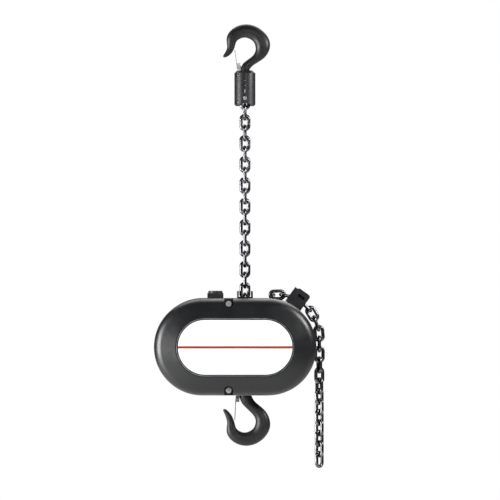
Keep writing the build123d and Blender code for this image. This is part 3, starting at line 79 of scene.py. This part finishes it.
# ---------------------------------------------------------------- surfaces
NOISE_RANGE = (0.3, 0.7)    # most values of a noise texture lie between these
PAINT_WAVE = 0.00025        # depth in metres of the slow wave under paint
RUBBED = 1.25               # a rubbed patch is this many times as light as the rest

# ---------------------------------------------------------------- studio
ROOM_TINT = (0.95, 0.97, 1.0, 1.0)
ROOM_STRENGTH = 0.1
PAPER_WHITE = (1.0, 1.0, 1.0, 1.0)
FLOOR_GREY = ((0.8, 0.8, 0.8), (0.84, 0.84, 0.84))
CLIP_END = 100.0            # farthest distance that the camera sees


# ================================================================ node helpers
class Nodes:
    """Short names for adding and linking the nodes of one material."""

    def __init__(self, name):
        self.material = bpy.data.materials.new(name)
        self.material.use_nodes = True
        self.tree = self.material.node_tree
        self.tree.nodes.clear()
        output = self.add("ShaderNodeOutputMaterial")
        self.shader = self.add("ShaderNodeBsdfPrincipled")
        self.link(self.shader, "BSDF", output, "Surface")
        coordinates = self.add("ShaderNodeTexCoord")
        self.place = coordinates.outputs["Object"]

    def add(self, kind):
        return self.tree.nodes.new(kind)

    def link(self, source, output, target, entry):
        self.tree.links.new(source.outputs[output], target.inputs[entry])

    def stretched(self, scale):
        """Coordinates scaled by a different amount along each axis."""
        mapping = self.add("ShaderNodeMapping")
        mapping.inputs["Scale"].default_value = scale
        self.tree.links.new(self.place, mapping.inputs["Vector"])
        return mapping.outputs["Vector"]

    def noise(self, scale, detail, roughness=0.55, vector=None):
        texture = self.add("ShaderNodeTexNoise")
        texture.inputs["Scale"].default_value = scale
        texture.inputs["Detail"].default_value = detail
        texture.inputs["Roughness"].default_value = roughness
        self.tree.links.new(vector or self.place, texture.inputs["Vector"])
        return texture

    def ramp(self, source, output, stops):
        """Colour ramp over (position, colour) stops."""
        ramp = self.add("ShaderNodeValToRGB")
        elements = ramp.color_ramp.elements
        while len(elements) < len(stops):
            elements.new(0.5)
        for element, (position, colour) in zip(elements, stops):
            element.position = position
            element.color = (*colour, 1.0)
        self.link(source, output, ramp, "Fac")
        return ramp

    def spread(self, source, output, low, high):
        """Maps most of a texture's values onto low to high."""
        start, end = NOISE_RANGE
        node = self.add("ShaderNodeMapRange")
        node.inputs["From Min"].default_value = start
        node.inputs["From Max"].default_value = end
        node.inputs["To Min"].default_value = low
        node.inputs["To Max"].default_value = high
        self.link(source, output, node, "Value")
        return node

    def bump(self, source, output, depth, strength, below=None):
        """Bump whose full height is depth in metres; below is a coarser bump under it."""
        node = self.add("ShaderNodeBump")
        node.inputs["Strength"].default_value = strength
        node.inputs["Distance"].default_value = depth
        self.link(source, output, node, "Height")
        if below:
            self.link(below, "Normal", node, "Normal")
        return node

    def set(self, **values):
        for name, value in values.items():
            self.shader.inputs[name.replace("_", " ")].default_value = value


def coated_metal(name, dark, light, roughness, grain, depth, specular=0.5):
    """Paint or powder coat: fine orange peel over a slow wave, with uneven sheen."""
    made = Nodes(name)
    cloud = made.noise(scale=9.0, detail=5.0, roughness=0.6)
    ramp = made.ramp(cloud, "Fac", [(0.32, dark), (0.7, light)])
    made.link(ramp, "Color", made.shader, "Base Color")
    rub = made.noise(scale=38.0, detail=6.0, roughness=0.65)
    sheen = made.spread(rub, "Fac", roughness - 0.06, roughness + 0.08)
    made.link(sheen, "Result", made.shader, "Roughness")
    slow = made.bump(made.noise(scale=16.0, detail=2.0), "Fac", depth=PAINT_WAVE, strength=0.5)
    orange_peel = made.noise(scale=grain, detail=3.0, roughness=0.5)
    fine = made.bump(orange_peel, "Fac", depth, strength=0.6, below=slow)
    made.link(fine, "Normal", made.shader, "Normal")
    made.set(Specular_IOR_Level=specular)
    return made.material


def forged_steel(name, dark, light, roughness):
    """Drop-forged steel under satin paint: scale pits, soft lumps and rubbed patches."""
    made = Nodes(name)
    cloud = made.noise(scale=28.0, detail=6.0, roughness=0.62)
    rubbed = tuple(RUBBED * channel for channel in light)
    ramp = made.ramp(cloud, "Fac", [(0.3, dark), (0.62, light), (0.78, rubbed)])
    made.link(ramp, "Color", made.shader, "Base Color")
    rub = made.noise(scale=70.0, detail=5.0, roughness=0.6)
    sheen = made.spread(rub, "Fac", roughness - 0.08, roughness + 0.1)
    made.link(sheen, "Result", made.shader, "Roughness")
    lumps = made.bump(made.noise(scale=45.0, detail=3.0), "Fac", depth=0.0006, strength=0.3)
    pits = made.add("ShaderNodeTexVoronoi")
    pits.inputs["Scale"].default_value = 620.0
    made.tree.links.new(made.place, pits.inputs["Vector"])
    pitted = made.bump(pits, "Distance", depth=0.00006, strength=0.2, below=lumps)
    made.link(pitted, "Normal", made.shader, "Normal")
    made.set(Specular_IOR_Level=0.36)
    return made.material


def bright_steel(name, dark, light, roughness, streak=(1.0, 1.0, 1.0), scratches=420.0):
    """Bare steel: stains of oil, fine scratches along one axis and uneven polish."""
    made = Nodes(name)
    stain = made.noise(scale=60.0, detail=6.0, roughness=0.65)
    ramp = made.ramp(stain, "Fac", [(0.3, dark), (0.6, light)])
    made.link(ramp, "Color", made.shader, "Base Color")
    vector = made.stretched(streak)
    scratch = made.noise(scale=scratches, detail=4.0, roughness=0.6, vector=vector)
    sheen = made.spread(scratch, "Fac", roughness - 0.07, roughness + 0.12)
    made.link(sheen, "Result", made.shader, "Roughness")
    bump = made.bump(scratch, "Fac", depth=0.00008, strength=0.35)
    made.link(bump, "Normal", made.shader, "Normal")
    made.set(Metallic=1.0)
    return made.material


def turned_steel(name, dark, light, roughness):
    """Ground or turned steel: fine rings across Y under a film of oil."""
    made = Nodes(name)
    rings = made.add("ShaderNodeTexWave")
    rings.wave_type = "BANDS"
    rings.bands_direction = "Y"
    rings.inputs["Scale"].default_value = 900.0
    rings.inputs["Distortion"].default_value = 1.5
    made.tree.links.new(made.place, rings.inputs["Vector"])
    film = made.noise(scale=40.0, detail=5.0, roughness=0.6)
    ramp = made.ramp(film, "Fac", [(0.3, dark), (0.65, light)])
    made.link(ramp, "Color", made.shader, "Base Color")
    sheen = made.spread(film, "Fac", roughness - 0.05, roughness + 0.1)
    made.link(sheen, "Result", made.shader, "Roughness")
    bump = made.bump(rings, "Fac", depth=0.00006, strength=0.3)
    made.link(bump, "Normal", made.shader, "Normal")
    made.set(Metallic=1.0)
    return made.material


def moulded_plastic(name, dark, light, roughness):
    """Moulded plastic with a fine spark-eroded grain."""
    made = Nodes(name)
    cloud = made.noise(scale=22.0, detail=3.0, roughness=0.5)
    ramp = made.ramp(cloud, "Fac", [(0.35, dark), (0.65, light)])
    made.link(ramp, "Color", made.shader, "Base Color")
    cells = made.noise(scale=900.0, detail=2.0, roughness=0.5)
    sheen = made.spread(cells, "Fac", roughness - 0.05, roughness + 0.08)
    made.link(sheen, "Result", made.shader, "Roughness")
    bump = made.bump(cells, "Fac", depth=0.00006, strength=0.4)
    made.link(bump, "Normal", made.shader, "Normal")
    return made.material


def printed_film(name, dark, light, roughness, coat=0.1, specular=0.5):
    """Printed film of the label, with faint waviness and handling marks."""
    made = Nodes(name)
    cloud = made.noise(scale=14.0, detail=4.0, roughness=0.5)
    ramp = made.ramp(cloud, "Fac", [(0.3, dark), (0.7, light)])
    made.link(ramp, "Color", made.shader, "Base Color")
    marks = made.noise(scale=120.0, detail=6.0, roughness=0.7)
    sheen = made.spread(marks, "Fac", roughness, roughness + 0.12)
    made.link(sheen, "Result", made.shader, "Roughness")
    bump = made.bump(made.noise(scale=35.0, detail=2.0), "Fac", depth=0.0001, strength=0.3)
    made.link(bump, "Normal", made.shader, "Normal")
    made.set(Coat_Weight=coat, Coat_Roughness=0.12, Specular_IOR_Level=specular)
    return made.material


# ================================================================ materials
COVER_BLACK = coated_metal(
    "cover_black", (0.0052, 0.0054, 0.0062), (0.0082, 0.0085, 0.0095),
    roughness=0.33, grain=950.0, depth=0.00006)
FRAME_CAST = coated_metal(
    "frame_cast", (0.010, 0.010, 0.011), (0.018, 0.018, 0.019),
    roughness=0.5, grain=420.0, depth=0.0002)
BLOCK_BLACK = coated_metal(
    "block_black", (0.008, 0.008, 0.0095), (0.013, 0.0125, 0.015),
    roughness=0.42, grain=900.0, depth=0.00002, specular=0.4)
STOP_BLACK = coated_metal(
    "stop_black", (0.005, 0.005, 0.0065), (0.009, 0.009, 0.0115),
    roughness=0.34, grain=520.0, depth=0.00006)
SCREW_BLACK = coated_metal(
    "screw_black", (0.03, 0.03, 0.03), (0.06, 0.06, 0.062),
    roughness=0.32, grain=700.0, depth=0.00005)
SCREW_ZINC = bright_steel("screw_zinc", (0.5, 0.5, 0.52), (0.75, 0.75, 0.77), roughness=0.4)
FORGED_BLACK = forged_steel(
    "forged_black", (0.0055, 0.0055, 0.006), (0.010, 0.010, 0.0108), roughness=0.42)
LATCH_STEEL = bright_steel(
    "latch_steel", (0.4, 0.4, 0.42), (0.6, 0.6, 0.62), roughness=0.24, streak=(1.0, 1.0, 0.2))
CHAIN_STEEL = bright_steel(
    "chain_steel", (0.06, 0.06, 0.065), (0.18, 0.18, 0.19),
    roughness=0.17, streak=(1.0, 1.0, 0.35), scratches=700.0)
PIN_STEEL = bright_steel("pin_steel", (0.28, 0.28, 0.29), (0.48, 0.48, 0.5), roughness=0.26)
GUIDE_STEEL = bright_steel("guide_steel", (0.016, 0.016, 0.018), (0.05, 0.05, 0.054), roughness=0.32)
GEAR_STEEL = turned_steel("gear_steel", (0.36, 0.36, 0.37), (0.56, 0.56, 0.58), roughness=0.28)
CORE_STEEL = turned_steel("core_steel", (0.11, 0.11, 0.115), (0.2, 0.2, 0.21), roughness=0.42)
BRAKE_LINING = coated_metal(
    "brake_lining", (0.07, 0.055, 0.045), (0.13, 0.105, 0.09),
    roughness=0.75, grain=800.0, depth=0.0002)
INLET_BLACK = moulded_plastic(
    "inlet_black", (0.011, 0.011, 0.012), (0.02, 0.02, 0.021), roughness=0.45)
LABEL_WHITE = printed_film("label_white", (0.80, 0.80, 0.81), (0.85, 0.85, 0.855), roughness=0.3)
LABEL_BLACK = printed_film(
    "label_black", (0.002, 0.002, 0.002), (0.004, 0.004, 0.004), roughness=0.3, coat=0.0, specular=0.1)
LABEL_ORANGE = printed_film(
    "label_orange", (0.30, 0.030, 0.001), (0.36, 0.038, 0.002), roughness=0.4, coat=0.0, specular=0.15)

BY_SLOT = {
    "forged_black": FORGED_BLACK,
    "latch_steel": LATCH_STEEL,
    "pin_steel": PIN_STEEL,
    "chain_steel": CHAIN_STEEL,
    "cover_black": COVER_BLACK,
    "frame_cast": FRAME_CAST,
    "label_white": LABEL_WHITE,
    "screw_black": SCREW_BLACK,
    "screw_zinc": SCREW_ZINC,
    "guide_steel": GUIDE_STEEL,
    "stop_black": STOP_BLACK,
    "inlet_black": INLET_BLACK,
    "gear_steel": GEAR_STEEL,
    "core_steel": CORE_STEEL,
    "brake_lining": BRAKE_LINING,
}
BY_NODE = {
    "block_left_half": BLOCK_BLACK,
    "block_right_half": BLOCK_BLACK,
}


def dress_cad_nodes():
    """Gives every CAD node the finished material of its slot."""
    for part in frame["record"]["subparts"]:
        node = part["node"]
        material = BY_NODE.get(node, BY_SLOT[part["material_slot"]])
        for place in NODES[node].material_slots:
            place.material = material


# ================================================================ label
def stadium(half_length, half_height):
    """Points of a stadium outline about its centre, counter-clockwise."""
    straight = half_length - half_height
    points = []
    for side in (1, -1):
        for step in range(ROUND_STEPS + 1):
            angle = math.pi * step / ROUND_STEPS - math.pi / 2
            x = straight + half_height * math.cos(angle)
            points.append((side * x, side * half_height * math.sin(angle)))
    return points


def mesh_piece(name, build, material):
    """Mesh object made by build(bm), in one material."""
    mesh = bpy.data.meshes.new(name)
    bm = bmesh.new()
    build(bm)
    bmesh.ops.recalc_face_normals(bm, faces=bm.faces)
    bm.to_mesh(mesh)
    bm.free()
    mesh.materials.append(material)
    piece = bpy.data.objects.new(name, mesh)
    bpy.context.scene.collection.objects.link(piece)
    return piece


def loops_to_faces(bm, rings, close_ends):
    """Skins a list of equal point rings, with a face over each open end if asked."""
    made = [[bm.verts.new(point) for point in ring] for ring in rings]
    count = len(made[0])
    for lower, upper in zip(made, made[1:]):
        for number in range(count):
            after = (number + 1) % count
            bm.faces.new((lower[number], lower[after], upper[after], upper[number]))
    if close_ends:
        bm.faces.new(made[0])
        bm.faces.new(list(reversed(made[-1])))
    return made


def make_label():
    """White plate, its black edge and the orange line, in place of the plain CAD plate."""
    low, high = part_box("front_label")
    centre = (low + high) / 2
    half_length = (high.x - low.x) / 2
    half_height = (high.z - low.z) / 2
    front = low.y
    back = high.y

    def ring(inset, y):
        outline = stadium(half_length - inset, half_height - inset)
        return [(centre.x + x, y, centre.z + z) for x, z in outline]

    def plate(bm):
        loops_to_faces(bm, [ring(0, back), ring(0, front + LABEL_BEVEL), ring(LABEL_BEVEL, front)], True)

    def edge(bm):
        proud = front - LABEL_PROUD
        inner = LABEL_BEVEL + LABEL_EDGE
        rings = [ring(LABEL_BEVEL, front), ring(LABEL_STEP, proud), ring(inner, proud)]
        rings += [ring(inner + LABEL_PROUD / 2, front), ring(LABEL_BEVEL, front)]
        made = loops_to_faces(bm, rings, False)
        bmesh.ops.remove_doubles(bm, verts=made[0] + made[-1], dist=1e-6)

    def line(bm):
        reach = half_length - LABEL_BEVEL - LABEL_EDGE - LABEL_PROUD
        half = LABEL_LINE / 2
        soft = LABEL_PROUD / 2
        corners = [(-reach, -half), (reach, -half), (reach, half), (-reach, half)]
        rings = []
        for inset, y in ((0, front), (0, front - soft), (soft, front - LABEL_PROUD)):
            rings.append([(centre.x + x - math.copysign(inset, x), y, centre.z + z - math.copysign(inset, z))
                          for x, z in corners])
        loops_to_faces(bm, rings, True)

    pieces = (("label_plate", plate, LABEL_WHITE), ("label_edge", edge, LABEL_BLACK),
              ("label_line", line, LABEL_ORANGE))
    for name, build, material in pieces:
        piece = mesh_piece(name, build, material)
        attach(piece, "hoist_body")
        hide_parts("front_label")


# ================================================================ studio
def make_floor():
    """Plain pale floor with a soft mottle, below the hanging hoist."""
    low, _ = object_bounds()
    mesh = bpy.data.meshes.new("floor")
    half = FLOOR_SIZE / 2
    corners = [(-half, -half), (half, -half), (half, half), (-half, half)]
    mesh.from_pydata([(x, y, low.z - FLOOR_DROP) for x, y in corners], [], [(0, 1, 2, 3)])
    floor = bpy.data.objects.new("floor", mesh)
    bpy.context.scene.collection.objects.link(floor)
    made = Nodes("floor")
    ramp = made.ramp(made.noise(scale=1.5, detail=3.0), "Fac", [(0.3, FLOOR_GREY[0]), (0.7, FLOOR_GREY[1])])
    made.link(ramp, "Color", made.shader, "Base Color")
    made.set(Roughness=0.8)
    mesh.materials.append(made.material)


def area_light(name, place, target, size, power):
    """Rectangular softbox at place that faces target."""
    light = bpy.data.lights.new(name, "AREA")
    light.shape = "RECTANGLE"
    light.size, light.size_y = size
    light.energy = power
    lamp = bpy.data.objects.new(name, light)
    lamp.location = place
    lamp.rotation_mode = "QUATERNION"
    lamp.rotation_quaternion = (Vector(target) - Vector(place)).to_track_quat("-Z", "Y")
    bpy.context.scene.collection.objects.link(lamp)


def make_lights():
    """Softboxes given as name, what they face, offset from it, size and power; then the room."""
    lamps = (
        ("left_softbox", BODY_CENTRE, (-1.5, -0.95, 0.0), (0.4, 0.8), 18),
        ("left_edge_softbox", BODY_CENTRE, (-1.6, -0.5, 0.1), (0.7, 1.1), 36),
        ("upper_right_softbox", BODY_CENTRE, (1.15, -0.45, 0.8), (0.6, 0.6), 20),
        ("front_key", VIEW_CENTRE, (0.6, -3.0, 0.8), (0.6, 0.5), 17),
        ("low_fill", BODY_CENTRE, (-0.2, -1.6, -1.3), (1.6, 0.4), 6),
        ("back_rim", VIEW_CENTRE, (0.5, 1.9, 1.0), (1.2, 0.8), 9),
        ("floor_wash", VIEW_CENTRE, (0.0, 1.4, 2.4), (3.4, 2.0), 60),
    )
    for name, target, offset, size, power in lamps:
        area_light(name, target + Vector(offset), target, size, power)
    world = bpy.data.worlds.new("studio")
    world.use_nodes = True
    tree = world.node_tree
    tree.nodes.clear()
    output = tree.nodes.new("ShaderNodeOutputWorld")
    mix = tree.nodes.new("ShaderNodeMixShader")
    path = tree.nodes.new("ShaderNodeLightPath")
    room = tree.nodes.new("ShaderNodeBackground")
    room.inputs["Color"].default_value = ROOM_TINT
    room.inputs["Strength"].default_value = ROOM_STRENGTH
    paper = tree.nodes.new("ShaderNodeBackground")
    paper.inputs["Color"].default_value = PAPER_WHITE
    tree.links.new(path.outputs["Is Camera Ray"], mix.inputs["Fac"])
    tree.links.new(room.outputs["Background"], mix.inputs[1])
    tree.links.new(paper.outputs["Background"], mix.inputs[2])
    tree.links.new(mix.outputs["Shader"], output.inputs["Surface"])
    bpy.context.scene.world = world
    bpy.context.scene.view_settings.view_transform = "Standard"


def make_camera():
    """Long lens straight in front of the hoist."""
    camera = bpy.data.cameras.new("camera")
    camera.sensor_width = SENSOR
    camera.lens = SENSOR * CAMERA_DISTANCE / VIEW_HEIGHT
    camera.clip_end = CLIP_END
    holder = bpy.data.objects.new("camera", camera)
    holder.location = VIEW_CENTRE - Vector((0.0, CAMERA_DISTANCE, 0.0))
    holder.rotation_euler = (math.pi / 2, 0.0, 0.0)
    bpy.context.scene.collection.objects.link(holder)
    bpy.context.scene.camera = holder


make_camera()
dress_cad_nodes()
make_label()
make_floor()
make_lights()
